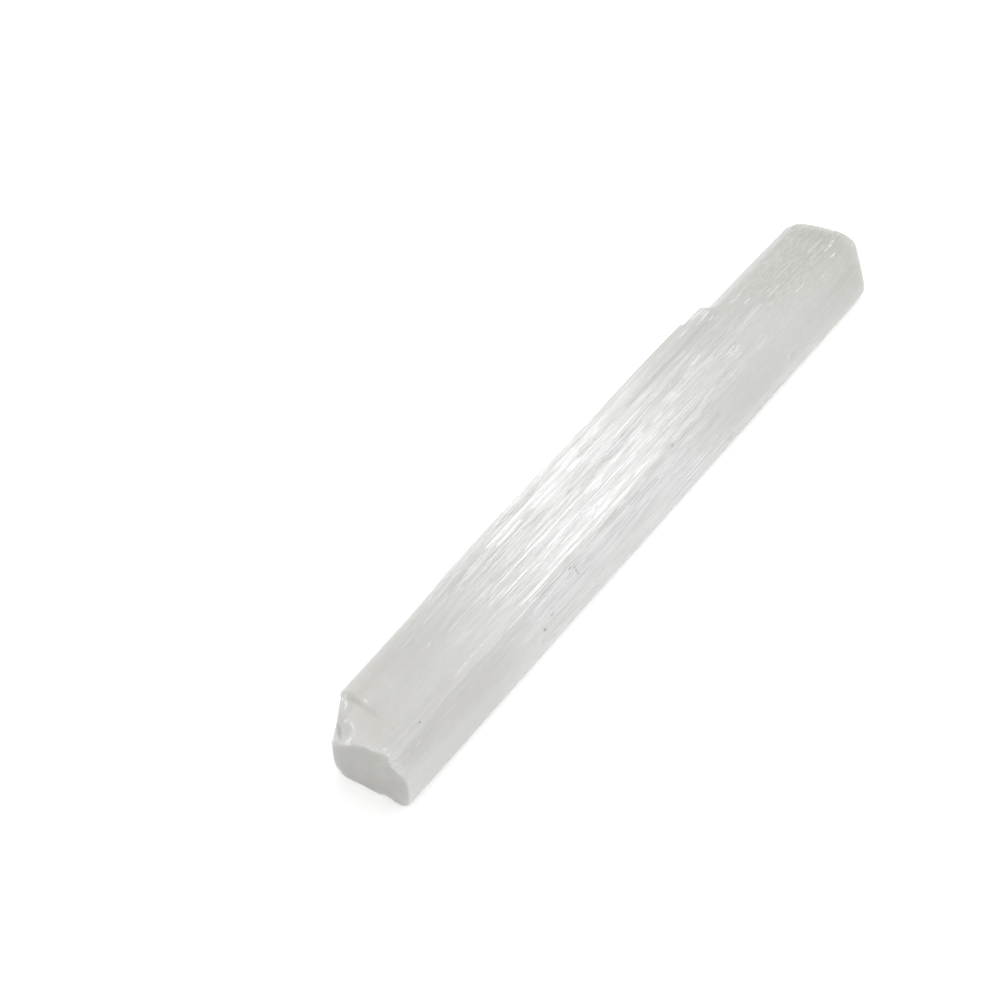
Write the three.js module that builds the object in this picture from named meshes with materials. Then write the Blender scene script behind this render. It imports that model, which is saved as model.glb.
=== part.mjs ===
// A natural blade of selenite (satin spar): one long, fibrous crystal with sawn ends.
// Millimetres, +Z up. X runs along the fibres, and the near sawn end faces -X.
// The origin is on the resting face, in the middle of the blade.
//
// The skin is worked out as a radius around the blade's middle line. A "lane" is the distance
// round the section from the ridge line: positive across the top towards the left edge (+Y),
// negative down the right side (-Y). The fibres run along the lanes.
import * as THREE from "three";

// Driving dimensions
const LENGTH = 203;
const NEAR = -LENGTH / 2;
const FAR = LENGTH / 2;
const MIDDLE_HEIGHT = 6.8; // of the line that the radii start from
const EDGE_SHARPNESS = 2.6; // per millimetre: corners are rounded to about 1 / EDGE_SHARPNESS
const LEAST_TOWARDS = 0.02; // cosine up to which a side counts as seen edge-on, and is left out
const RIDGE_ANGLE = 137; // degrees from +Y, where lane 0 is
const SIDEWAYS = -0.3; // brings the middle of the blade's box to Y = 0

// The flat sides of the section, each through a point [y, z] with its outward direction in
// degrees from +Y towards +Z, at the near end and at the far end. A bow moves the side outwards
// at mid-length.
const SIDES = {
  topRight: { near: [-3, 13.1], far: [-3, 14.6], facing: [92, 93], bow: 0.1 },
  topLeft: { near: [6, 13.0], far: [6, 14.0], facing: [87, 86], bow: 0.2 },
  slope: { near: [-9.3, 10.7], far: [-9.9, 9.3], facing: [140, 154], bow: 0 },
  right: { near: [-11.5, 5], far: [-12.4, 3], facing: [176, 176], bow: 0 },
  rightFoot: { near: [-11.2, 1.0], far: [-11.9, 0.9], facing: [222, 222], bow: 0 },
  under: { near: [0, -0.12], far: [0, -0.12], facing: [270, 270], bow: 0 },
  leftFoot: { near: [10.0, 1.4], far: [10.2, 1.2], facing: [318, 316], bow: 0.4 },
  left: { near: [11.3, 9], far: [11.3, 9], facing: [-4, -3], bow: 1.1 },
};
// Past the broken layer the left top edge is bevelled.
const LEFT_BEVEL = { through: [9.6, 13.0], facing: 52, starts: 54.5, full: 59, idle: 3 };
// At the near end the left side is broken away, and the top slopes down to the break.
const LEFT_BREAK = { length: 9.2, depth: 3.8 };
const BREAK_SLOPE = { through: [0.3, 12.7], facing: 62, rise: 0.68 };

// Layers of fibres that stand proud (rise above 0) or have split off (rise below 0): the lanes
// that they cover and how wide their two long edges are, and the stretch of X with the length
// over which each end fades. A short fade is a broken end.
const LEDGES = [
  { name: "left layer", lanes: [13.6, 18.3], edges: [3.0, 0.7],
    along: [-76, 56], fades: [30, 0.5], rise: 0.65 },
  { name: "left edge layer", lanes: [17.6, 21.8], edges: [0.7, 1.2],
    along: [-70, 47], fades: [26, 0.5], rise: 0.55 },
  { name: "bright field", lanes: [1.0, 9.6], edges: [1.2, 1.6],
    along: [-66, 26], fades: [24, 22], rise: 0.15 },
  { name: "inner layer", lanes: [11.4, 15.2], edges: [0.8, 1.4],
    along: [-85, -8], fades: [20, 20], rise: 0.15 },
  { name: "mid groove", lanes: [8.8, 11.4], edges: [1.5, 0.6],
    along: [-22, 43], fades: [22, 12], rise: -0.18 },
  { name: "far layer", lanes: [1.4, 7.2], edges: [1.0, 2.4],
    along: [46, 110], fades: [32, 1], rise: 0.28 },
  { name: "corner scarp", lanes: [8, 24], edges: [2, 1],
    along: [-110, -92.2], fades: [1, 0.8], rise: -0.4 },
  { name: "slope hollow", lanes: [-5.2, -1.0], edges: [1.2, 0.7],
    along: [-110, -84], fades: [1, 15], rise: -0.45 },
  { name: "slope splinter", lanes: [-4.4, -2.6], edges: [0.6, 1.0],
    along: [-24, 28], fades: [18, 0.5], rise: -0.25 },
  { name: "foot splinter", lanes: [-10.4, -8.2], edges: [1.0, 0.6],
    along: [-52, -12], fades: [0.5, 20], rise: -0.25 },
  { name: "foot layer", lanes: [-12.0, -8.6], edges: [0.8, 1.4],
    along: [28, 86], fades: [0.5, 22], rise: 0.25 },
  { name: "left hollow", lanes: [23.2, 27.2], edges: [0.7, 1.6],
    along: [-79, 28], fades: [12, 0.5], rise: -0.6 },
  { name: "left splinter", lanes: [21.4, 23.8], edges: [1.2, 0.6],
    along: [41, 110], fades: [0.5, 1], rise: -0.5 },
  { name: "left foot layer", lanes: [27.6, 30.2], edges: [0.7, 0.9],
    along: [-52, 66], fades: [0.5, 18], rise: 0.3 },
  { name: "near channel", lanes: [-21.5, -17.6], edges: [1.2, 1.0],
    along: [-110, -12], fades: [1, 24], rise: -0.7 },
  { name: "far channel", lanes: [-32.2, -28.4], edges: [0.8, 1.6],
    along: [-12, 110], fades: [16, 1], rise: -0.6 },
];
const BROKEN = 0.5; // the longest fade that counts as a broken end
const RAGGED = { by: 2.4, strip: 1.1 }; // how unevenly the fibres end there, strip by strip

// Small dents: lane and X of the middle, radius, depth
const PITS = [
  { name: "ridge nick", lane: -0.9, x: -36.5, radius: 1.4, depth: 0.3 },
  { name: "foot pit", lane: -6.6, x: -50.5, radius: 1.1, depth: 0.3 },
  { name: "ridge dent", lane: 0.2, x: 9, radius: 1.2, depth: 0.25 },
  { name: "far foot pit", lane: -8.4, x: 59.5, radius: 1.3, depth: 0.4 },
  { name: "left pit", lane: 24.5, x: -9.5, radius: 1.8, depth: 0.7 },
];

// Hollows chipped out of the edge of the near end, each part of a ball
const CHIPS = [
  { name: "spall", middle: [-103.5, 6, 81.3], radius: 69.3 },
  { name: "scoop", middle: [-102.4, 7.2, 15.0], radius: 5.9 },
  { name: "small scoop", middle: [-96.4, 12.4, 14.2], radius: 3.2 },
  { name: "edge chip", middle: [-103, -10.4, 12.3], radius: 3.5 },
];

// Bundles of fibres all over: width across the lanes, usual length, and the span of the heights
// that they stand at. Past these shares of its length and width a bundle passes into the next.
const BUNDLES = [
  { width: 3.1, length: 58, depth: 0.12, seed: 11 },
  { width: 1.2, length: 27, depth: 0.05, seed: 47 },
];
const BUNDLE_PASSES = { along: 0.55, across: 0.7 };
// The skin's broad unevenness: size of the lumps, and the span of their heights
const LUMPS = { across: 8, along: 34, depth: 0.27, seed: 5 };

// Ends: the near one is sawn flat, with a small bevel. The far one is ground round in plan and
// along its rim, and its middle stands out a little beyond the rim.
const NEAR_BEVEL = { length: 0.35, inset: 0.25 };
const FAR_ROUNDING = 1.5;
const FAR_BULGE = 0.6;
const FAR_CURVE = { drop: 0.021, length: 16 }; // drop in mm per square mm of Y

// Mesh
const COLUMNS = 60; // round the section
const SECTION_STEPS = 1440; // with which the way round the section is measured
const STATION_STEP = 6.5;
const LEAST_STEP = 0.45;
const CROWDED = STATION_STEP / 3; // an even station so close to another is left out
const CHIP_STATIONS = [1.2, 2.4, 3.6, 4.8, 6, 7.5, 9, 11]; // from the near end
const BREAK_STATIONS = [-1.4, -0.5, 0.4, 1.3]; // from a broken end
const PIT_STATIONS = [-0.8, 0, 0.8]; // in shares of a dent's radius from its middle
const FAR_TURNS = [30, 60, 85]; // degrees along the rounding of the far rim

const radians = THREE.MathUtils.degToRad;
const mix = THREE.MathUtils.lerp;
const smooth = THREE.MathUtils.smoothstep;

// A number from 0 to 1 that depends only on a and b.
function chance(a, b) {
  const wave = Math.sin(a * 127.1 + b * 311.7) * 43758.5453;
  return wave - Math.floor(wave);
}

// 1 between two limits and 0 outside them. The edges lie inside the limits and have their own
// widths.
function plateau(value, [from, to], [first, last]) {
  return smooth(value, from, from + first) * (1 - smooth(value, to - last, to));
}

// Every side at a place along the blade, as its outward direction and its distance from the
// middle line.
function sidesAt(x) {
  const share = (x - NEAR) / LENGTH;
  const bulge = 1 - (2 * share - 1) ** 2;
  const broken = LEFT_BREAK.depth * Math.max(0, 1 - (x - NEAR) / LEFT_BREAK.length);
  const sides = Object.values(SIDES).map(({ near, far, facing, bow }) => {
    const direction = radians(mix(...facing, share));
    const through = [mix(near[0], far[0], share), mix(near[1], far[1], share)];
    const missing = broken * Math.max(0, Math.cos(direction));
    return { direction, distance: sideDistance(direction, through) + bow * bulge - missing };
  });
  const slope = radians(BREAK_SLOPE.facing);
  const bevel = radians(LEFT_BEVEL.facing);
  sides.push({
    direction: slope,
    distance: sideDistance(slope, BREAK_SLOPE.through) + BREAK_SLOPE.rise * (x - NEAR),
  }, {
    direction: bevel,
    distance: sideDistance(bevel, LEFT_BEVEL.through)
      + LEFT_BEVEL.idle * (1 - smooth(x, LEFT_BEVEL.starts, LEFT_BEVEL.full)),
  });
  return sides;
}

// Distance from the middle line to a side that faces a direction and passes through a point.
function sideDistance(direction, [y, z]) {
  return y * Math.cos(direction) + (z - MIDDLE_HEIGHT) * Math.sin(direction);
}

// Distance from the middle line to the plain section, in the direction of an angle. The nearest
// side counts, and near a corner the two blend.
function plainRadius(sides, angle) {
  let sum = 0;
  for (const { direction, distance } of sides) {
    const towards = Math.cos(angle - direction);
    if (towards > LEAST_TOWARDS) sum += Math.exp(-EDGE_SHARPNESS * distance / towards);
  }
  return -Math.log(sum) / EDGE_SHARPNESS;
}

// The angle and the lane of each column of the mesh, evenly spaced round the middle section.
function columnsAround(count) {
  const steps = SECTION_STEPS;
  const sides = sidesAt(0);
  const start = radians(RIDGE_ANGLE);
  const points = Array.from({ length: steps + 1 }, (_, i) => {
    const angle = start - 2 * Math.PI * i / steps;
    const radius = plainRadius(sides, angle);
    return { angle, y: radius * Math.cos(angle), z: radius * Math.sin(angle), run: 0 };
  });
  for (let i = 1; i <= steps; i++) {
    const [a, b] = [points[i - 1], points[i]];
    b.run = a.run + Math.hypot(b.y - a.y, b.z - a.z);
  }
  const around = points[steps].run;
  return Array.from({ length: count }, (_, k) => {
    const run = around * k / count;
    const next = points.findIndex((p) => p.run > run);
    const [a, b] = [points[next - 1], points[next]];
    const angle = mix(a.angle, b.angle, (run - a.run) / (b.run - a.run));
    return { angle, lane: run > around / 2 ? run - around : run };
  });
}

// How far one bundle of fibres stands out at a lane and a place along it.
function bundleHeight({ width, length, depth, seed }, lane, x) {
  const level = (strip) => {
    const place = x / length + chance(strip, seed);
    const part = Math.floor(place);
    const blend = smooth(place - part, BUNDLE_PASSES.along, 1);
    return mix(chance(strip, seed + part), chance(strip, seed + part + 1), blend);
  };
  const strip = Math.floor(lane / width);
  const across = smooth(lane / width - strip, BUNDLE_PASSES.across, 1);
  return depth * (mix(level(strip), level(strip + 1), across) - 0.5);
}

// How far the skin's broad unevenness stands out there.
function lumpHeight({ across, along, depth, seed }, lane, x) {
  const [u, v] = [lane / across, x / along];
  const [i, j] = [Math.floor(u), Math.floor(v)];
  const [s, t] = [smooth(u - i, 0, 1), smooth(v - j, 0, 1)];
  const row = (n) => mix(chance(i + seed, n), chance(i + 1 + seed, n), s);
  return depth * (mix(row(j), row(j + 1), t) - 0.5);
}

// How far one layer of fibres stands out there. A broken end is uneven, strip by strip.
function ledgeHeight({ lanes, edges, along, fades, rise }, lane, x) {
  const strip = Math.floor(lane / RAGGED.strip);
  const uneven = fades.map((fade, i) => (
    fade > BROKEN ? 0 : RAGGED.by * (chance(strip, along[i]) - 0.5)
  ));
  const ends = along.map((end, i) => end + uneven[i]);
  return rise * plateau(lane, lanes, edges) * plateau(x, ends, fades);
}

// How far the skin stands outside or inside the plain section.
function relief(lane, x) {
  let height = lumpHeight(LUMPS, lane, x);
  for (const bundle of BUNDLES) height += bundleHeight(bundle, lane, x);
  for (const ledge of LEDGES) height += ledgeHeight(ledge, lane, x);
  for (const pit of PITS) {
    const away = Math.hypot(lane - pit.lane, x - pit.x) / pit.radius;
    if (away < 1) height -= pit.depth * (1 - away * away);
  }
  return height;
}

// Distance from the middle line to the nearest chip hollow, or Infinity.
function chipRadius(angle, x) {
  let nearest = Infinity;
  for (const { middle, radius } of CHIPS) {
    const [y, z] = [middle[1], middle[2] - MIDDLE_HEIGHT];
    const cut = radius * radius - (x - middle[0]) ** 2;
    if (cut <= 0) continue;
    const along = y * Math.cos(angle) + z * Math.sin(angle);
    const inside = along * along - (y * y + z * z - cut);
    if (inside > 0 && along > 0) nearest = Math.min(nearest, along - Math.sqrt(inside));
  }
  return nearest;
}

// One point of the skin. inset draws the outline in, for the rounded ends.
function skinPoint({ angle, lane }, sides, x, inset) {
  const skin = Math.min(plainRadius(sides, angle) + relief(lane, x), chipRadius(angle, x));
  const radius = skin - inset;
  const y = radius * Math.cos(angle);
  const z = MIDDLE_HEIGHT + radius * Math.sin(angle);
  const drop = FAR_CURVE.drop * y * y * smooth(x, FAR - FAR_CURVE.length, FAR);
  return new THREE.Vector3(x - drop, y + SIDEWAYS, Math.max(z, 0));
}

// Where the sections are taken: close together where a layer breaks off or a dent lies, and
// evenly between.
function stationPlaces() {
  const [first, last] = [NEAR + NEAR_BEVEL.length, FAR - FAR_ROUNDING];
  const places = [first, last, ...CHIP_STATIONS.map((ahead) => NEAR + ahead)];
  for (const { along, fades } of LEDGES) {
    along.forEach((end, i) => {
      if (fades[i] <= BROKEN) places.push(...BREAK_STATIONS.map((ahead) => end + ahead));
    });
  }
  for (const { x, radius } of PITS) places.push(...PIT_STATIONS.map((share) => x + share * radius));
  const even = Math.round((last - first) / STATION_STEP);
  for (let i = 1; i < even; i++) {
    const x = mix(first, last, i / even);
    if (places.every((place) => Math.abs(place - x) > CROWDED)) places.push(x);
  }
  const inside = places.filter((x) => x >= first && x <= last).sort((a, b) => a - b);
  return inside.filter((x, i) => i === 0 || x - inside[i - 1] >= LEAST_STEP);
}

// The whole skin: rings of points from the near end to the far end, with a middle point closing
// each end.
function bladeGeometry() {
  const columns = columnsAround(COLUMNS);
  const ring = (x, inset = 0) => {
    const sides = sidesAt(x);
    return columns.map((column) => skinPoint(column, sides, x, inset));
  };
  const rings = stationPlaces().map((x) => ring(x));
  rings.unshift(ring(NEAR, NEAR_BEVEL.inset));
  for (const turn of FAR_TURNS) {
    const out = FAR_ROUNDING * Math.sin(radians(turn));
    const inset = FAR_ROUNDING * (1 - Math.cos(radians(turn)));
    rings.push(ring(FAR - FAR_ROUNDING + out * (1 - FAR_BULGE / FAR_ROUNDING), inset));
  }

  const points = rings.flat();
  const triangles = [];
  for (let r = 0; r + 1 < rings.length; r++) {
    for (let c = 0; c < COLUMNS; c++) {
      const next = (c + 1) % COLUMNS;
      const [a, b] = [r * COLUMNS + c, r * COLUMNS + next];
      triangles.push([a, b + COLUMNS, b], [a, a + COLUMNS, b + COLUMNS]);
    }
  }
  const nearMiddle = points.push(new THREE.Vector3(NEAR, SIDEWAYS, MIDDLE_HEIGHT)) - 1;
  const farMiddle = points.push(new THREE.Vector3(FAR, SIDEWAYS, MIDDLE_HEIGHT)) - 1;
  const last = (rings.length - 1) * COLUMNS;
  for (let c = 0; c < COLUMNS; c++) {
    const next = (c + 1) % COLUMNS;
    triangles.push([nearMiddle, c, next], [farMiddle, last + next, last + c]);
  }

  const geometry = new THREE.BufferGeometry().setFromPoints(points);
  geometry.setIndex(triangles.flat());
  geometry.computeVertexNormals();
  return geometry;
}

const selenite = new THREE.MeshStandardMaterial({
  color: 0xd6d6d2,
  roughness: 0.35,
  metalness: 0,
  flatShading: true,
});

const blade = new THREE.Mesh(bladeGeometry(), selenite);
blade.name = "selenite_blade";

const part = new THREE.Group();
part.name = "selenite_crystal_blade";
part.add(blade);

export default part;
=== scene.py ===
"""A natural blade of selenite (satin spar) that lies on a pale floor.

The blade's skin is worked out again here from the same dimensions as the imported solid, with the
fine fibres added. Dimensions are in millimetres until a mesh is made, and in metres from then
on. X runs along the fibres, and the near sawn end faces -X. A "lane" is the distance round the
section from the ridge line: positive across the top towards the left edge (+Y), negative down
the right side (-Y).
"""

import bpy
import numpy as np
from math import cos, pi, radians, sin
from mathutils import Matrix, Vector
from types import SimpleNamespace


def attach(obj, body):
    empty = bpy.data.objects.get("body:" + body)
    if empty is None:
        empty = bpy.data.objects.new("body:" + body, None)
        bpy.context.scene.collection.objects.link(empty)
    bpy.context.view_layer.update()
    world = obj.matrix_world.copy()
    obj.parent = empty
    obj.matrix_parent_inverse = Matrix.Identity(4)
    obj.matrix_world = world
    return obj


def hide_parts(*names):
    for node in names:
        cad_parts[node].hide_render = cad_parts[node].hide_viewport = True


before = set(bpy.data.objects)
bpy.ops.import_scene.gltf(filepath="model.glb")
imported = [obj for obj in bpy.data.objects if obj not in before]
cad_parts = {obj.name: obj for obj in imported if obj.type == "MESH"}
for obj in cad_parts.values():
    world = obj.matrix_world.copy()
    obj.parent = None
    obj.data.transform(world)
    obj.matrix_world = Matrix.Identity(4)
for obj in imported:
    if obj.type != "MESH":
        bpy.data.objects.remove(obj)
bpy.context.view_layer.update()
MM = 0.001

# Camera
VIEW_FROM = {"elevation": 42.4, "azimuth": -57.1, "distance": 550.0}  # degrees and millimetres
VIEW_AT = (-14.95, 22.9, 0.0)
FOCAL_LENGTH, SENSOR_WIDTH = 87.3, 36.0

# Light. Soft lights far off to the side lie on an arc across the blade, so that a band of silk
# shows at its middle. Each has the direction of the skin that mirrors it, in degrees from +Y
# towards +Z, its size along and across the blade in metres, and its power in watts.
BAND_MIDDLE = (-24.0, 0.0, 12.0)
SILK_LIGHTS_AWAY = 1100.0
SILK_LIGHTS = {
    "left silk light": (74, (0.14, 0.40), 0.15),
    "silk light": (88, (0.14, 0.34), 1.65),
    "ridge silk light": (110, (0.15, 0.72), 2.5),
    "side silk light": (136, (0.13, 0.40), 0.25),
}
SILK_LIGHT_COLOR = (0.95, 0.985, 1.0)
WORLD_STRENGTH = 0.93
FLOOR = {"half width": 3.0, "height": -0.00005}  # metres
WHITE = (1, 1, 1, 1)

# The blade's dimensions
LENGTH = 203.0
NEAR, FAR = -LENGTH / 2, LENGTH / 2
MIDDLE_HEIGHT = 6.8  # of the line that the radii start from
EDGE_SHARPNESS = 2.6  # per millimetre: corners are rounded to about 1 / EDGE_SHARPNESS
LEAST_TOWARDS = 0.02  # cosine up to which a side counts as seen edge-on, and is left out
RIDGE_ANGLE = 137.0  # degrees from +Y, where lane 0 is
SIDEWAYS = -0.3  # brings the middle of the blade's box to Y = 0

# The flat sides of the section: a point (y, z) of each at the near and at the far end, its
# outward direction there in degrees, and how far it bows out at mid-length
SIDES = {
    "top right": ((-3, 13.1), (-3, 14.6), (92, 93), 0.1),
    "top left": ((6, 13.0), (6, 14.0), (87, 86), 0.2),
    "slope": ((-9.3, 10.7), (-9.9, 9.3), (140, 154), 0),
    "right": ((-11.5, 5), (-12.4, 3), (176, 176), 0),
    "right foot": ((-11.2, 1.0), (-11.9, 0.9), (222, 222), 0),
    "under": ((0, -0.12), (0, -0.12), (270, 270), 0),
    "left foot": ((10.0, 1.4), (10.2, 1.2), (318, 316), 0.4),
    "left": ((11.3, 9), (11.3, 9), (-4, -3), 1.1),
}
# Past the broken layer the left top edge is bevelled
LEFT_BEVEL = {"through": (9.6, 13.0), "facing": 52, "starts": 54.5, "full": 59, "idle": 3}
# At the near end the left side is broken away, and the top slopes down to the break
LEFT_BREAK = {"length": 9.2, "depth": 3.8}
BREAK_SLOPE = {"through": (0.3, 12.7), "facing": 62, "rise": 0.68}

# Layers of fibres that stand proud or have split off: lanes, width of the two long edges,
# stretch of X, length over which each end fades, and rise
LEDGES = {
    "left layer": ((13.6, 18.3), (3.0, 0.7), (-76, 56), (30, 0.5), 0.65),
    "left edge layer": ((17.6, 21.8), (0.7, 1.2), (-70, 47), (26, 0.5), 0.55),
    "bright field": ((1.0, 9.6), (1.2, 1.6), (-66, 26), (24, 22), 0.15),
    "inner layer": ((11.4, 15.2), (0.8, 1.4), (-85, -8), (20, 20), 0.15),
    "mid groove": ((8.8, 11.4), (1.5, 0.6), (-22, 43), (22, 12), -0.18),
    "far layer": ((1.4, 7.2), (1.0, 2.4), (46, 110), (32, 1), 0.28),
    "corner scarp": ((8, 24), (2, 1), (-110, -92.2), (1, 0.8), -0.4),
    "slope hollow": ((-5.2, -1.0), (1.2, 0.7), (-110, -84), (1, 15), -0.45),
    "slope splinter": ((-4.4, -2.6), (0.6, 1.0), (-24, 28), (18, 0.5), -0.25),
    "foot splinter": ((-10.4, -8.2), (1.0, 0.6), (-52, -12), (0.5, 20), -0.25),
    "foot layer": ((-12.0, -8.6), (0.8, 1.4), (28, 86), (0.5, 22), 0.25),
    "left hollow": ((23.2, 27.2), (0.7, 1.6), (-79, 28), (12, 0.5), -0.6),
    "left splinter": ((21.4, 23.8), (1.2, 0.6), (41, 110), (0.5, 1), -0.5),
    "left foot layer": ((27.6, 30.2), (0.7, 0.9), (-52, 66), (0.5, 18), 0.3),
    "near channel": ((-21.5, -17.6), (1.2, 1.0), (-110, -12), (1, 24), -0.7),
    "far channel": ((-32.2, -28.4), (0.8, 1.6), (-12, 110), (16, 1), -0.6),
}
BROKEN_END = 0.5  # the longest fade that counts as one
RAGGED = {"by": 2.4, "strip": 1.1}  # how unevenly the fibres end there, strip by strip

# Small dents: lane, x, radius and depth
PITS = {
    "ridge nick": (-0.9, -36.5, 1.4, 0.3),
    "foot pit": (-6.6, -50.5, 1.1, 0.3),
    "ridge dent": (0.2, 9, 1.2, 0.25),
    "far foot pit": (-8.4, 59.5, 1.3, 0.4),
    "left pit": (24.5, -9.5, 1.8, 0.7),
}

# Hollows chipped out of the near end's edge, each part of a ball: middle and radius
SPALL = ((-103.5, 6, 81.3), 69.3)
SPALL_BLEND = 0.3  # over which the spall runs out into the skin
SCOOPS = {
    "scoop": ((-102.4, 7.2, 15.0), 5.9),
    "small scoop": ((-96.4, 12.4, 14.2), 3.2),
    "edge chip": ((-103, -10.4, 12.3), 3.5),
}
# Ripples of the broken surface in the scoops: wavelength, height and middle (lane, x)
RIPPLES = {"length": 1.5, "height": 0.05, "middle": (13.0, -103.0)}
# A painted highlight along the scoops' rim: its lanes, how softly it starts and ends across them,
# and the gaps between a scoop's ball and the skin at which it starts to fade and is gone
SCOOP_RIM_HIGHLIGHT = {"lanes": (11.0, 17.5), "edges": (1.5, 1.5), "fades": (0.08, 0.5)}
BROKEN_SURFACE = (0.45, 1.1)  # depths under the unbroken skin where it starts and is full

# Nicks in the near end's edge: lane, half width and depth
NICKS = [
    (-1.3, 0.8, 0.6),
    (-3.1, 0.7, 0.35),
    (-5.4, 0.8, 0.55),
    (-7.2, 0.7, 0.4),
    (1.4, 0.7, 0.45),
    (4.4, 1.3, 0.35),
    (8.3, 1.0, 0.35),
    (11.9, 1.2, 0.3),
]
NICK_REACH = 1.3  # along the blade

# Bundles of fibres: width across the lanes, usual length, span of the heights that they stand
# at, seed, and how far their backs are crowned. The solid has the broad ones and the widest of
# the fine ones, without crowns. Past certain shares of its length and width a bundle passes into
# the next.
BROAD_BUNDLES = (3.1, 58, 0.12, 11, 0)
FINE_BUNDLES = [
    (1.2, 27, 0.05, 47, 0.012),
    (0.64, 31, 0.034, 83, 0.010),
    (0.43, 17, 0.030, 29, 0.009),
]
BUNDLE_PASSES = {"along": 0.55, "across": 0.7}
CROWN_MEAN = 0.67  # of a crowned back, as a share of its crown
CREST_SPAN = 0.16  # about the span of all the fine bundles' heights together

# Where the fine fibres show less: lanes, width of the two long edges, stretch of X, length of the
# two fades, and how much is lost
CALM = {
    "near end": ((-99, 99), (1, 1), (-140, -46), (1, 44), 0.7),
    "left layer": ((12.0, 24.0), (2, 2), (-4, 60), (16, 1), 0.4),
    "far slope": ((-18.0, 0.5), (2, 2), (10, 140), (40, 1), 0.7),
    "near slope": ((-18.0, -5.0), (2, 2), (-140, 20), (1, 40), 0.4),
    "far top": ((-0.5, 26.0), (2, 2), (40, 140), (30, 1), 0.5),
}

# The skin's broad unevenness: size of the lumps, and the span of their heights
LUMPS = {"across": 8, "along": 34, "depth": 0.27, "seed": 5}

# Ends: the near one is sawn flat, with a small bevel. The far one is ground round in plan and
# along its rim, and its middle stands out a little beyond the rim.
NEAR_BEVEL = {"length": 0.35, "inset": 0.245}
FAR_ROUNDING = 1.5
FAR_BULGE = 0.6
FAR_TURNS = [20, 40, 60, 85]  # degrees along the rounding of the far rim
FAR_CURVE = {"drop": 0.021, "length": 16}  # drop in mm per square mm of Y

# Which faces lie in the sawn ends: how squarely they face out, and from where on
SAWN_NEAR = {"facing": -0.8, "x": NEAR + 0.5 * NEAR_BEVEL["length"]}
SAWN_FAR = {"facing": 0.7, "x": 90.0}

# Marks: two ends (lane, x), half the width and how strongly it shows. Flaws shine white: white flaws
# in the crystal, and painted glints and highlights at broken ends, on the scoop and at the near
# ridge corner; weak ones are clusters of small sparkling splinters, painted glints as well. Cracks
# are thin dark lines and spots. Painted shades are soft dark patches put where the skin lies in
# shade or mirrors less light.
# White flaws together with painted glints and highlights
FLAWS_AND_GLINTS = [
    ((9.5, 29.5), (10.0, 40.5), 0.36, 1),
    ((5.05, 42), (5.1, 47), 0.28, 1),
    ((2.6, 43), (2.6, 47), 0.2, 1),
    ((3.9, 11.5), (3.9, 19), 0.22, 1),
    ((5.1, 15), (5.2, 19), 0.2, 1),
    ((16.6, 41.5), (16.4, 47), 0.3, 1),
    ((15.6, 49), (15.8, 56), 0.35, 1),
    ((14.4, 52), (14.4, 55), 0.25, 1),
    ((17.3, 50), (17.2, 55.5), 0.3, 1),
    ((10.6, 62.5), (10.6, 65.4), 0.26, 1),
    ((8.3, 69.5), (8.3, 71), 0.26, 1),
    ((2.8, 72), (2.6, 75.5), 0.22, 1),
    ((2.2, 89.5), (2.1, 93), 0.26, 1),
    ((-2.2, -50), (-2.3, -35), 0.24, 1),
    ((-2.9, -47), (-2.9, -38), 0.22, 1),
    ((-4.3, -46), (-4.2, -40), 0.2, 1),
    ((-3.6, -6), (-3.7, 12), 0.2, 1),
    ((-2.9, -95), (-2.9, -93.2), 0.26, 1),
    ((11.15, -72.5), (11.15, -71.2), 0.26, 1),
    ((0.2, -101.5), (-0.1, -100.9), 0.3, 1),
    ((15.8, -100.9), (11.6, -100.3), 0.5, 1),
    ((18.0, -93.6), (17.3, -94.2), 0.4, 1),
    ((17.0, -94.8), (17.0, -95.6), 0.35, 1),
    ((19.0, -93.2), (18.6, -93.9), 0.3, 1),
    ((1.2, -76), (1.3, -60), 0.3, 0.5),
    ((6.6, -60), (6.5, -48), 0.3, 0.6),
    ((14.6, -91.4), (12.4, -92.0), 0.3, 0.6),
    ((19.6, 51.0), (15.6, 55.0), 1.3, 0.5),
    ((20.2, 45.6), (19.6, 50.6), 0.9, 0.5),
    ((10.2, 64.2), (10.9, 62.6), 0.9, 0.5),
    ((4.2, 42.0), (4.4, 48.0), 1.1, 0.5),
    ((9.7, 33.0), (9.2, 28.0), 0.9, 0.5),
    ((13.6, 66.0), (13.2, 60.0), 0.8, 0.5),
    ((4.3, 91.0), (4.4, 97.0), 1.0, 0.5),
    ((18.6, -92.4), (16.6, -94.6), 0.9, 0.5),
    ((0.2, -100.4), (3.4, -100.8), 0.7, 0.5),
    ((3.2, -20.6), (3.9, -15.0), 0.9, 0.5),
]
# Cracks: thin dark lines and spots
CRACKS = [
    ((2.3, -21.8), (2.7, -19.6), 0.26, 1),
    ((2.7, -19.6), (3.9, -17.1), 0.24, 1),
    ((-1.6, -36.2), (-2.4, -34.5), 0.3, 1),
    ((-2.4, -34.5), (-4.4, -35.0), 0.26, 1),
    ((-7.4, -50.9), (-7.3, -50.1), 0.5, 1),
    ((-5.9, -47.7), (-6.0, -47.1), 0.4, 1),
    ((-0.3, 8.3), (-0.3, 9.2), 0.5, 1),
    ((11.0, 0.8), (11.1, 10), 0.16, 1),
    ((-0.1, -90.9), (-0.1, -90.5), 0.35, 1),
    ((11.3, -17.4), (11.3, -16.7), 0.4, 1),
]
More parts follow.
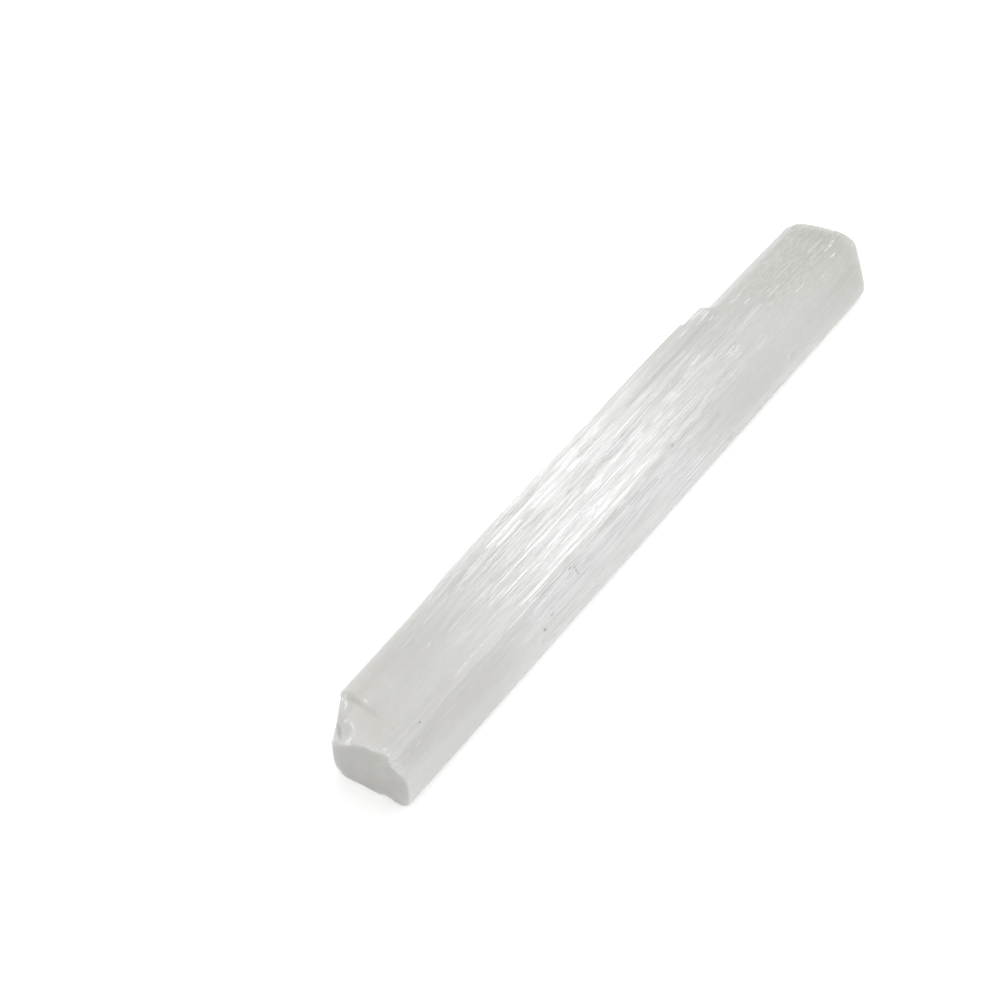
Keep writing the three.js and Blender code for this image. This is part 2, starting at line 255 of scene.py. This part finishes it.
# Painted shade: soft dark patches along the near scarp's step, at the scoop's dark side, in a dent, along
# the mid groove and on the far left edge and bevel
PAINTED_SHADES = [
    ((19.0, -92.0), (15.6, -92.6), 0.7, 0.45),
    ((16.4, -92.2), (13.0, -93.2), 0.5, 0.4),
    ((13.2, -93.0), (8.6, -93.8), 0.45, 0.25),
    ((20.6, -99.6), (19.6, -98.6), 0.9, 0.8),
    ((0.4, 8.8), (0.5, 9.8), 0.5, 1),
    ((11.0, -17.8), (11.1, -15.8), 0.7, 1),
    ((19.2, 62), (19.2, 108), 2.4, 0.6),
    ((19.6, 30), (19.6, 52), 2.6, 0.5),
    ((9.9, -20), (10.0, 34), 2.0, 0.5),
]
MARK_STRETCH = 0.45  # a distance along the fibres counts as so much of one across them
MARK_TIP = 0.4  # width of a mark's tips, as a share of its middle's
MARK_CORE = 0.2  # share of the width that shows in full

# The fine mesh: spacing in millimetres, and places where it is closer
LANE_STEPS = {"shown": 0.145, "hidden": 0.42}
SHOWN_LANES = (-16.5, 27.0)
STATION_STEP = 1.12
END_STEP, END_LENGTH = 0.36, 11.0  # at the near end
BREAK_STEP, BREAK_REACH = 0.42, 1.7  # on both sides of a broken end
SECTION_SAMPLES = 5761  # with which the way round the section is measured
STATION_SAMPLES = 4001  # with which the way along the blade is measured


def mix(a, b, share):
    return a + (b - a) * share


def smooth(value, low, high):
    """0 up to the low value, 1 from the high one, and an S-curve between them."""
    share = np.clip((value - low) / (high - low), 0, 1)
    return share * share * (3 - 2 * share)


def soft_least(a, b, width):
    """The smaller of two heights, without a crease where they cross."""
    b = np.where(np.isfinite(b), b, a + width)
    share = np.clip(0.5 + 0.5 * (b - a) / width, 0, 1)
    return mix(b, a, share) - width * share * (1 - share)


def chance(a, b):
    """A number from 0 to 1 that depends only on a and b."""
    wave = np.sin(a * 127.1 + b * 311.7) * 43758.5453
    return wave - np.floor(wave)


def plateau(value, limits, edges):
    """1 between two limits and 0 outside them, with edges of their own widths inside them."""
    rise = smooth(value, limits[0], limits[0] + edges[0])
    return rise * (1 - smooth(value, limits[1] - edges[1], limits[1]))


def side_distance(direction, point):
    """From the middle line to a side that faces a direction and passes through a point."""
    y, z = point
    return y * np.cos(direction) + (z - MIDDLE_HEIGHT) * np.sin(direction)


def sides_at(x, whole):
    """Every side at the places x, as its outward direction and distance from the middle line.
    A whole blade has nothing broken off its near end."""
    share = (x - NEAR) / LENGTH
    bulge = 1 - (2 * share - 1) ** 2
    broken = 0 if whole else LEFT_BREAK["depth"] * np.maximum(0, 1 - (x - NEAR) / LEFT_BREAK["length"])
    sides = []
    for near, far, facing, bow in SIDES.values():
        direction = np.radians(mix(*facing, share))
        through = (mix(near[0], far[0], share), mix(near[1], far[1], share))
        missing = broken * np.maximum(0, np.cos(direction))
        sides.append((direction, side_distance(direction, through) + bow * bulge - missing))
    if not whole:
        slope = np.full_like(x, radians(BREAK_SLOPE["facing"]))
        distance = side_distance(slope, BREAK_SLOPE["through"])
        sides.append((slope, distance + BREAK_SLOPE["rise"] * (x - NEAR)))
    bevel = np.full_like(x, radians(LEFT_BEVEL["facing"]))
    away = LEFT_BEVEL["idle"] * (1 - smooth(x, LEFT_BEVEL["starts"], LEFT_BEVEL["full"]))
    sides.append((bevel, side_distance(bevel, LEFT_BEVEL["through"]) + away))
    return sides


def plain_radius(x, angle, whole=False):
    """From the middle line to the plain section. Near a corner the two sides blend."""
    total = 0
    for direction, distance in sides_at(x, whole):
        towards = np.cos(angle - direction)
        seen = towards > LEAST_TOWARDS
        power = -EDGE_SHARPNESS * distance / np.where(seen, towards, 1)
        total = total + np.where(seen, np.exp(power), 0)
    return -np.log(total) / EDGE_SHARPNESS


def steps_taken(places, step):
    """How many steps of their own length lead from the first place to each place."""
    return np.concatenate([[0], np.cumsum(np.diff(places) / step[1:])])


def columns_around():
    """The angle and the lane of each column of the mesh, closer together where it shows."""
    angles = radians(RIDGE_ANGLE) - np.linspace(0, 2 * pi, SECTION_SAMPLES)
    radius = plain_radius(np.zeros_like(angles), angles)
    y, z = radius * np.cos(angles), radius * np.sin(angles)
    run = np.concatenate([[0], np.cumsum(np.hypot(np.diff(y), np.diff(z)))])
    around = run[-1]
    low, high = SHOWN_LANES
    shown = (run < high) | (run > around + low)
    taken = steps_taken(run, np.where(shown, LANE_STEPS["shown"], LANE_STEPS["hidden"]))
    count = int(round(taken[-1]))
    runs = np.interp(np.arange(count) * taken[-1] / count, taken, run)
    lanes = np.where(runs > around / 2, runs - around, runs)
    return np.interp(runs, run, angles), lanes


def stations():
    """Where the sections are taken: closer at the near end and where a layer breaks off."""
    x = np.linspace(NEAR + NEAR_BEVEL["length"], FAR - FAR_ROUNDING, STATION_SAMPLES)
    step = np.full_like(x, STATION_STEP)
    for _, _, along, fades, _ in LEDGES.values():
        for end, fade in zip(along, fades):
            if fade <= BROKEN_END:
                step[np.abs(x - end) < BREAK_REACH] = BREAK_STEP
    step[x < NEAR + END_LENGTH] = END_STEP
    taken = steps_taken(x, step)
    return np.interp(np.linspace(0, taken[-1], int(taken[-1]) + 1), taken, x)


def ring_places():
    """Where each ring of points lies along the blade, and how far its outline is drawn in."""
    places = stations()
    turns = np.radians(FAR_TURNS)
    out = (FAR_ROUNDING - FAR_BULGE) * np.sin(turns)
    inset = FAR_ROUNDING * (1 - np.cos(turns))
    x = np.concatenate([[NEAR], places, places[-1] + out])
    insets = np.concatenate([[NEAR_BEVEL["inset"]], np.zeros(len(places)), inset])
    return x[:, None], insets[:, None]


def bundle_height(bundle, lane, x):
    """How far one size of bundle stands out at a lane and a place along it."""
    width, length, depth, seed, crown = bundle

    def level(strip):
        place = x / length + chance(strip, seed)
        part = np.floor(place)
        blend = smooth(place - part, BUNDLE_PASSES["along"], 1)
        return mix(chance(strip, seed + part), chance(strip, seed + part + 1), blend)

    strip = np.floor(lane / width)
    across = smooth(lane / width - strip, BUNDLE_PASSES["across"], 1)
    back = 1 - (2 * (lane / width - strip) - 1) ** 2
    return depth * (mix(level(strip), level(strip + 1), across) - 0.5) + crown * (back - CROWN_MEAN)


def lump_height(lane, x):
    """How far the skin's broad unevenness stands out there."""
    u, v = lane / LUMPS["across"], x / LUMPS["along"]
    i, j = np.floor(u), np.floor(v)
    s, t = smooth(u - i, 0, 1), smooth(v - j, 0, 1)
    seed = LUMPS["seed"]

    def row(n):
        return mix(chance(i + seed, n), chance(i + 1 + seed, n), s)

    return LUMPS["depth"] * (mix(row(j), row(j + 1), t) - 0.5)


def ledge_height(ledge, lane, x):
    """How far one layer of fibres stands out there. A broken end is uneven, strip by strip."""
    lanes, edges, along, fades, rise = ledge
    strip = np.floor(lane / RAGGED["strip"])
    ends = [
        end + (RAGGED["by"] * (chance(strip, end) - 0.5) if fade <= BROKEN_END else 0)
        for end, fade in zip(along, fades)
    ]
    return rise * plateau(lane, lanes, edges) * plateau(x, ends, fades)


def coarse_relief(lane, x):
    """How far the skin, without its fine fibres, stands outside or inside the plain section."""
    height = lump_height(lane, x) + bundle_height(BROAD_BUNDLES, lane, x)
    for ledge in LEDGES.values():
        height = height + ledge_height(ledge, lane, x)
    for pit_lane, pit_x, radius, depth in PITS.values():
        away = np.hypot(lane - pit_lane, x - pit_x) / radius
        height = height - depth * np.maximum(0, 1 - away * away)
    return height


def liveliness(lane, x):
    """How strongly the fine fibres show, 0 to 1."""
    lively = 1
    for lanes, edges, along, fades, lost in CALM.values():
        lively = lively * (1 - lost * plateau(lane, lanes, edges) * plateau(x, along, fades))
    return lively


def nick_depth(lane, x):
    """How deep the nicks in the near end's edge are."""
    depth = np.zeros_like(lane)
    for middle, width, most in NICKS:
        away = np.abs(lane - middle) / width
        depth = np.maximum(depth, most * np.clip(1 - away, 0, 1))
    return depth * smooth(NEAR + NICK_REACH - x, 0, NICK_REACH)


def chip_reach(chip, angle, x):
    """From the middle line to a chip's hollow, or infinity."""
    (chip_x, chip_y, chip_z), radius = chip
    y, z = chip_y, chip_z - MIDDLE_HEIGHT
    cut = radius * radius - (x - chip_x) ** 2
    along = y * np.cos(angle) + z * np.sin(angle)
    inside = along * along - (y * y + z * z - cut)
    met = (cut > 0) & (inside > 0) & (along > 0)
    return np.where(met, along - np.sqrt(np.where(met, inside, 0)), np.inf)


def ripple_height(lane, x):
    """How far the ripples of the broken surface stand out."""
    away = np.hypot(lane - RIPPLES["middle"][0], x - RIPPLES["middle"][1])
    return RIPPLES["height"] * np.sin(away * 2 * pi / RIPPLES["length"])


def drawn(marks, lane, x):
    """How strongly the marks show at a lane and a place along it, 0 to 1."""
    most = np.zeros(np.broadcast(lane, x).shape)
    for (lane_1, x_1), (lane_2, x_2), width, strength in marks:
        run, rise = (x_2 - x_1) * MARK_STRETCH, lane_2 - lane_1
        along, across = (x - x_1) * MARK_STRETCH, lane - lane_1
        share = np.clip((along * run + across * rise) / (run * run + rise * rise), 0, 1)
        away = np.hypot(along - share * run, across - share * rise)
        tapered = width * mix(MARK_TIP, 1, np.sin(pi * share))
        most = np.maximum(most, strength * (1 - smooth(away, MARK_CORE * tapered, tapered)))
    return most


def blade_rings():
    """Rings of points from the near end to the far end, with what the finish needs to know."""
    angle, lane = (each[None, :] for each in columns_around())
    x, inset = ring_places()
    lively = liveliness(lane, x)
    fibres = sum(bundle_height(bundle, lane, x) for bundle in FINE_BUNDLES) * lively
    relief = coarse_relief(lane, x) + fibres
    worn = soft_least(plain_radius(x, angle) + relief, chip_reach(SPALL, angle, x) + fibres, SPALL_BLEND)
    scooped = np.minimum.reduce([chip_reach(scoop, angle, x) for scoop in SCOOPS.values()])
    scooped = scooped + ripple_height(lane, x)
    skin = np.minimum(worn, scooped)

    radius = skin - inset - nick_depth(lane, x)
    y = radius * np.cos(angle)
    z = MIDDLE_HEIGHT + radius * np.sin(angle)
    drop = FAR_CURVE["drop"] * y * y * smooth(x, FAR - FAR_CURVE["length"], FAR)
    points = np.stack([x - drop, y + SIDEWAYS, np.maximum(z, 0)], axis=2)

    broken = smooth(plain_radius(x, angle, whole=True) + relief - skin, *BROKEN_SURFACE)
    # Painted highlight: a white line along the rim where a scoop meets the skin
    rim = 1 - smooth(np.abs(scooped - worn), *SCOOP_RIM_HIGHLIGHT["fades"])
    rim = rim * plateau(lane, SCOOP_RIM_HIGHLIGHT["lanes"], SCOOP_RIM_HIGHLIGHT["edges"])
    marks = {
        "crest": np.clip(fibres / CREST_SPAN + 0.5, 0, 1),
        "scooped": (scooped < worn).astype(float),
        "broken": broken,
        "fibrous": (1 - broken) * lively,
        # White flaws and painted glints, with the painted highlight along the scoops' rim
        "flaw": np.maximum(drawn(FLAWS_AND_GLINTS, lane, x), rim),
        "crack": drawn(CRACKS, lane, x),
        # Painted shade
        "shadow": drawn(PAINTED_SHADES, lane, x),
        "lane": np.broadcast_to(lane * MM, skin.shape),
    }
    return points, marks


def blade_mesh():
    """The whole skin as one mesh, in metres. A middle point closes each end."""
    points, marks = blade_rings()
    rings, columns, _ = points.shape
    middles = np.array([[NEAR, SIDEWAYS, MIDDLE_HEIGHT], [FAR, SIDEWAYS, MIDDLE_HEIGHT]])
    vertices = np.concatenate([points.reshape(-1, 3), middles]) * MM
    first = np.arange(rings - 1)[:, None] * columns
    here = np.arange(columns)[None, :]
    after = (here + 1) % columns
    quads = np.stack([first + here, first + columns + here, first + columns + after, first + after], 2)
    near_middle, far_middle = rings * columns, rings * columns + 1
    last = (rings - 1) * columns
    faces = [tuple(quad) for quad in quads.reshape(-1, 4).tolist()]
    for c in range(columns):
        following = (c + 1) % columns
        faces.append((near_middle, c, following))
        faces.append((far_middle, last + following, last + c))

    mesh = bpy.data.meshes.new("selenite blade skin")
    mesh.from_pydata(vertices.tolist(), [], faces)
    marks_of_middles = [0.5, 0.5]
    for name, values in marks.items():
        attribute = mesh.attributes.new(name, "FLOAT", "POINT")
        attribute.data.foreach_set("value", np.append(values.ravel(), marks_of_middles))
    mesh.shade_smooth()
    mesh.validate()
    return mesh


# Finishes

class Wire:
    """The output of a shader node. Sums and products of wires add their Math nodes."""

    def __init__(self, finish, socket):
        self.finish, self.socket = finish, socket

    def math(self, operation, *values):
        return self.finish.node("ShaderNodeMath", {"operation": operation}, dict(enumerate(values)))

    def __add__(self, other):
        return self.math("ADD", self, other)

    def __radd__(self, other):
        return self.math("ADD", other, self)

    def __sub__(self, other):
        return self.math("SUBTRACT", self, other)

    def __rsub__(self, other):
        return self.math("SUBTRACT", other, self)

    def __mul__(self, other):
        return self.math("MULTIPLY", self, other)

    def __rmul__(self, other):
        return self.math("MULTIPLY", other, self)

    def __abs__(self):
        return self.math("ABSOLUTE", self)


class Finish:
    """A material whose nodes are written as expressions."""

    def __init__(self, name):
        self.material = bpy.data.materials.new(name)
        self.material.use_nodes = True
        self.tree = self.material.node_tree
        self.tree.nodes.clear()

    def node(self, kind, settings, sockets, output=0):
        """Adds a node: its settings first, then the values or wires of its sockets."""
        node = self.tree.nodes.new(kind)
        for name, value in settings.items():
            setattr(node, name, value)
        for name, value in sockets.items():
            if isinstance(value, Wire):
                self.tree.links.new(value.socket, node.inputs[name])
            else:
                node.inputs[name].default_value = value
        return Wire(self, node.outputs[output]) if node.outputs else node

    def place(self):
        return self.node("ShaderNodeTexCoord", {}, {}, "Object")

    def along(self):
        return self.node("ShaderNodeSeparateXYZ", {}, {"Vector": self.place()}, "X")

    def mark(self, name):
        return self.node("ShaderNodeAttribute", {"attribute_name": name}, {}, "Fac")

    def fibre_place(self):
        """Coordinates that follow the skin: along the blade, and the lane round it."""
        return self.node("ShaderNodeCombineXYZ", {}, {"X": self.along(), "Y": self.mark("lane")})

    def noise(self, place, along, across, detail=0.0, shift=0.0):
        """A soft pattern whose spots are so many metres along and across. Its shift sets it apart
        from the other patterns."""
        scale = {0: place, 1: (1 / along, 1 / across, 1 / across)}
        scaled = self.node("ShaderNodeVectorMath", {"operation": "MULTIPLY"}, scale)
        move = {0: scaled, 1: (shift, shift, shift)}
        moved = self.node("ShaderNodeVectorMath", {"operation": "ADD"}, move)
        return self.node("ShaderNodeTexNoise", {}, {"Vector": moved, "Scale": 1.0, "Detail": detail}, "Fac")

    def step(self, value, low, high):
        """0 up to the low value and 1 from the high one. With low above high it falls instead."""
        sockets = {"Value": value, "From Min": low, "From Max": high}
        return self.node("ShaderNodeMapRange", {"interpolation_type": "SMOOTHSTEP"}, sockets)

    def blend(self, share, first, second):
        """Colour that goes from first to second."""
        return self.node("ShaderNodeMix", {"data_type": "RGBA"}, {0: share, 6: first, 7: second}, 2)

    def paint(self, colour, layers):
        """Lays colours over a first one, each as strongly as its share says."""
        for share, layer in layers:
            colour = self.blend(share, colour, layer)
        return colour

    def bump(self, height, strength, distance):
        sockets = {"Height": height, "Strength": strength, "Distance": distance}
        return self.node("ShaderNodeBump", {}, sockets)

    def shine(self, settings, volume=None):
        """The surface shader, with its settings by socket name, and what fills the inside."""
        outputs = {"Surface": self.node("ShaderNodeBsdfPrincipled", {}, settings)}
        if volume is not None:
            outputs["Volume"] = volume
        self.node("ShaderNodeOutputMaterial", {}, outputs)
        return self.material


def grey(red, green, blue):
    """A colour from its display values, 0 to 255."""
    def linear(value):
        share = value / 255
        return share / 12.92 if share <= 0.04045 else ((share + 0.055) / 1.055) ** 2.4
    return (linear(red), linear(green), linear(blue), 1.0)


def crystal(f, settings):
    """Cloudy crystal that passes some light, with the settings of one of its surfaces."""
    cloud = {"Color": grey(229, 229, 226), "Density": 14.0}
    return f.shine({
        "IOR": 1.52,
        "Subsurface Weight": 0.85,
        "Subsurface Radius": (1.0, 1.0, 1.0),
        "Subsurface Scale": 0.006,
        **settings,
    }, f.node("ShaderNodeVolumeAbsorption", {}, cloud))


def skin_patterns(f):
    """The patterns and masks that make up the silky skin's colour, gloss and relief. Lengths
    are in metres."""
    skin = f.fibre_place()
    p = SimpleNamespace()
    p.broad = f.noise(skin, along=0.050, across=0.008, detail=1.0)
    p.band = f.noise(skin, along=0.110, across=0.0016, detail=1.0, shift=3.7)
    p.thread = f.noise(skin, along=0.070, across=0.00022, shift=9.1)
    p.seam = f.noise(skin, along=0.120, across=0.00055, shift=13.1)
    p.line = f.noise(skin, along=0.150, across=0.00034, shift=17.3)
    p.part = f.noise(skin, along=0.008, across=0.0015, shift=23.9)
    p.dash = f.noise(skin, along=0.0120, across=0.00020, shift=35.3)
    p.speck = f.noise(skin, along=0.0016, across=0.0004, detail=1.0, shift=41.9)
    p.grain = f.noise(skin, along=0.0024, across=0.0004, detail=1.0, shift=53.1)
    p.polish = f.noise(skin, along=0.04, across=0.0016, detail=1.0, shift=5.0)
    p.blotch = f.noise(f.place(), along=0.0016, across=0.0016, detail=2.0, shift=27.1)
    for name in ("crest", "fibrous", "scooped", "broken", "flaw", "crack", "shadow", "lane"):
        setattr(p, name, f.mark(name))
    p.x = f.along()
    p.top = f.step(p.lane, 0.0, 0.006)
    p.slope = f.step(p.lane, 0.0, -0.0022)
    # Where the silky band's sheen is painted into the colour
    p.silk = f.step(p.x, -0.075, -0.045) * f.step(p.x, 0.040, 0.0) * p.fibrous
    return p


def milky_colour(f, p):
    """The crystal's own colour: paler at the near end, darker and warmer at the far one, with
    broad and fine streaks."""
    milk = f.blend(f.step(p.broad, 0.36, 0.64), grey(213, 211, 207), grey(218, 217, 214))
    return f.paint(milk, [
        (f.step(p.x, -0.070, -0.100) * p.top * 0.7, grey(226, 224, 220)),
        (f.step(p.x, 0.050, 0.100) * 0.65, grey(199, 198, 191)),
        (f.step(p.band, 0.5, 0.72) * p.fibrous * 0.2, grey(196, 196, 193)),
        (f.step(p.thread + p.crest * 0.1, 0.50, 0.72) * p.fibrous * 0.26, grey(230, 230, 229)),
    ])


def silky_colour(f, p, colour):
    """Adds painted light: the slope paler, to make up for its shade, and much paler in the silky
    band, whose light and dark fibres are painted as sheen. Adds the flecks too, which are
    strongest across the top of the far end."""
    # Painted light on the slope: a little everywhere, less at the far end, much more in the silky band
    paler = 0.2 - f.step(p.x, 0.010, 0.060) * 0.12 + p.silk * 0.65
    flecked = 0.14 + f.step(p.x, 0.040, 0.085) * p.top * 0.3
    return f.paint(colour, [
        (p.slope * paler, grey(240, 240, 240)),
        (f.step(p.thread, 0.50, 0.36) * p.slope * p.fibrous * 0.3, grey(204, 204, 203)),
        # Painted sheen: light and dark fibres in the silky band
        (f.step(p.dash, 0.45, 0.33) * p.silk * 0.5, grey(192, 192, 190)),
        (f.step(p.dash, 0.58, 0.68) * p.silk * 0.5, grey(252, 252, 252)),
        (f.step(p.grain, 0.5, 0.7) * flecked, grey(192, 192, 188)),
        (f.step(p.grain, 0.5, 0.3) * flecked, grey(232, 232, 230)),
    ])


def flawed_colour(f, p, colour):
    """Adds the paler broken surface, the lightened scoops, white splinters and flaws with painted glints,
    painted shades and dark cracks.
    """
    # White splinters, partly painted glints: more of them and whiter in the silky band
    splinter_and_glint = f.step(p.line + p.silk * 0.07, 0.65, 0.71) * f.step(p.part + p.silk * 0.06, 0.54, 0.60)
    # White flaws and painted glints
    flaw = f.step(p.flaw + (p.thread - 0.5) * 0.8 + (p.speck - 0.5) * 1.7, 0.45, 0.8)
    crack = f.step(p.crack + (p.blotch - 0.5) * 1.4, 0.4, 0.8)
    return f.paint(colour, [
        (f.step(p.blotch, 0.45, 0.7) * p.broken * 0.5, grey(228, 228, 227)),
        # The scoops paler: partly their fresh broken surface, partly painted light that lifts the shade in
        # the hollows
        (p.scooped * 0.6, grey(232, 232, 231)),
        (splinter_and_glint * p.fibrous * (0.5 + p.silk * 0.35), grey(254, 254, 254)),
        (flaw * 0.85, grey(253, 253, 253)),
        # Painted shade, darker where the marks say
        (p.shadow * 0.4, grey(140, 140, 135)),
        (crack * 0.6, grey(138, 136, 130)),
    ])


def silky_selenite():
    """Milky crystal with straight silky fibres, and white and dark flaws along them."""
    f = Finish("silky selenite")
    p = skin_patterns(f)
    ridges = 1 - abs(p.seam * 2 - 1)
    fibres = (p.thread * 0.8 + ridges * 0.3 + p.band * 0.1 + p.dash * 0.4) * p.fibrous
    fine_gloss = f.step(p.thread, 0.42, 0.62) * p.fibrous * 0.15
    return crystal(f, {
        "Base Color": flawed_colour(f, p, silky_colour(f, p, milky_colour(f, p))),
        "Roughness": 0.11 + p.polish * 0.04 - p.scooped * 0.05 + fine_gloss,
        "Transmission Weight": 0.3,
        "Normal": f.bump(fibres + p.blotch * p.broken * 1.5, 1.0, 0.00009),
    })


def sawn_selenite():
    """The matt, finely scratched surface that a saw leaves. Its grey, darker than the silky skin's, is
    partly the sawn finish and partly painted shade of the end that faces away from the light.
    """
    f = Finish("sawn selenite")
    patches = f.noise(f.place(), along=0.004, across=0.004, detail=2.0)
    grain = f.noise(f.place(), along=0.0004, across=0.0004, detail=2.0, shift=2.0)
    # Partly painted shade: a darker grey than the silky skin
    matt = f.blend(f.step(patches, 0.35, 0.65), grey(188, 187, 183), grey(194, 193, 189))
    return crystal(f, {
        "Base Color": f.blend(f.step(grain, 0.5, 0.7) * 0.25, matt, grey(202, 202, 200)),
        "Roughness": 0.62 + grain * 0.15,
        "Transmission Weight": 0.15,
        "Normal": f.bump(grain, 0.25, 0.0001),
    })


def floor_finish():
    """A pale floor, softly lit from below like a photographer's light table."""
    return Finish("pale floor").shine({
        "Base Color": grey(240, 240, 240),
        "Roughness": 0.7,
        "Specular IOR Level": 0.2,
        "Emission Color": WHITE,
        "Emission Strength": 0.28,
    })


# The scene

def placed(name, data):
    """A new object in the scene."""
    obj = bpy.data.objects.new(name, data)
    bpy.context.collection.objects.link(obj)
    return obj


def camera_place():
    """Where the camera stands, in millimetres."""
    e, a = radians(VIEW_FROM["elevation"]), radians(VIEW_FROM["azimuth"])
    back = Vector((sin(a) * cos(e), -cos(a) * cos(e), sin(e)))
    return Vector(VIEW_AT) + back * VIEW_FROM["distance"]


def camera():
    data = bpy.data.cameras.new("camera")
    data.sensor_width = SENSOR_WIDTH
    data.lens = FOCAL_LENGTH
    obj = placed("camera", data)
    obj.location = camera_place() * MM
    obj.rotation_euler = (camera_place() - Vector(VIEW_AT)).to_track_quat("Z", "Y").to_euler()
    bpy.context.scene.camera = obj


def silk_light(name, facing, size, power):
    """A soft light that the skin mirrors at the band where it faces so many degrees from +Y
    towards +Z."""
    data = bpy.data.lights.new(name, "AREA")
    data.shape = "RECTANGLE"
    data.size, data.size_y = size
    data.energy = power
    data.color = SILK_LIGHT_COLOR
    middle = Vector(BAND_MIDDLE)
    to_camera = (camera_place() - middle).normalized()
    normal = Vector((0, cos(radians(facing)), sin(radians(facing))))
    towards = 2 * to_camera.dot(normal) * normal - to_camera
    along = (Vector((1, 0, 0)) - towards * towards.x).normalized()
    turn = Matrix((along, towards.cross(along), towards)).transposed()
    where = Matrix.Translation((middle + towards * SILK_LIGHTS_AWAY) * MM)
    placed(name, data).matrix_world = where @ turn.to_4x4()


def floor():
    half, z = FLOOR["half width"], FLOOR["height"]
    corners = [(-half, -half, z), (half, -half, z), (half, half, z), (-half, half, z)]
    mesh = bpy.data.meshes.new("floor")
    mesh.from_pydata(corners, [], [(0, 1, 2, 3)])
    mesh.materials.append(floor_finish())
    placed("floor", mesh)


def room_light():
    world = bpy.data.worlds.new("pale room")
    bpy.context.scene.world = world
    world.use_nodes = True
    background = world.node_tree.nodes["Background"]
    background.inputs["Color"].default_value = WHITE
    background.inputs["Strength"].default_value = WORLD_STRENGTH


def is_sawn(face):
    """Whether a face lies in one of the sawn ends."""
    facing, x = face.normal.x, face.center.x
    near = facing < SAWN_NEAR["facing"] and x < SAWN_NEAR["x"] * MM
    return near or facing > SAWN_FAR["facing"] and x > SAWN_FAR["x"] * MM


def blade():
    """The blade's one piece, in silky and sawn selenite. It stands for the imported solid."""
    mesh = blade_mesh()
    mesh.materials.append(silky_selenite())
    mesh.materials.append(sawn_selenite())
    sawn = np.array([is_sawn(face) for face in mesh.polygons], dtype=np.int32)
    mesh.polygons.foreach_set("material_index", sawn)
    piece = placed("blade", mesh)
    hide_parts("selenite_blade")
    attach(piece, "root")


camera()
floor()
room_light()
for light_name, light in SILK_LIGHTS.items():
    silk_light(light_name, *light)
blade()
bpy.context.scene.view_settings.view_transform = "Standard"
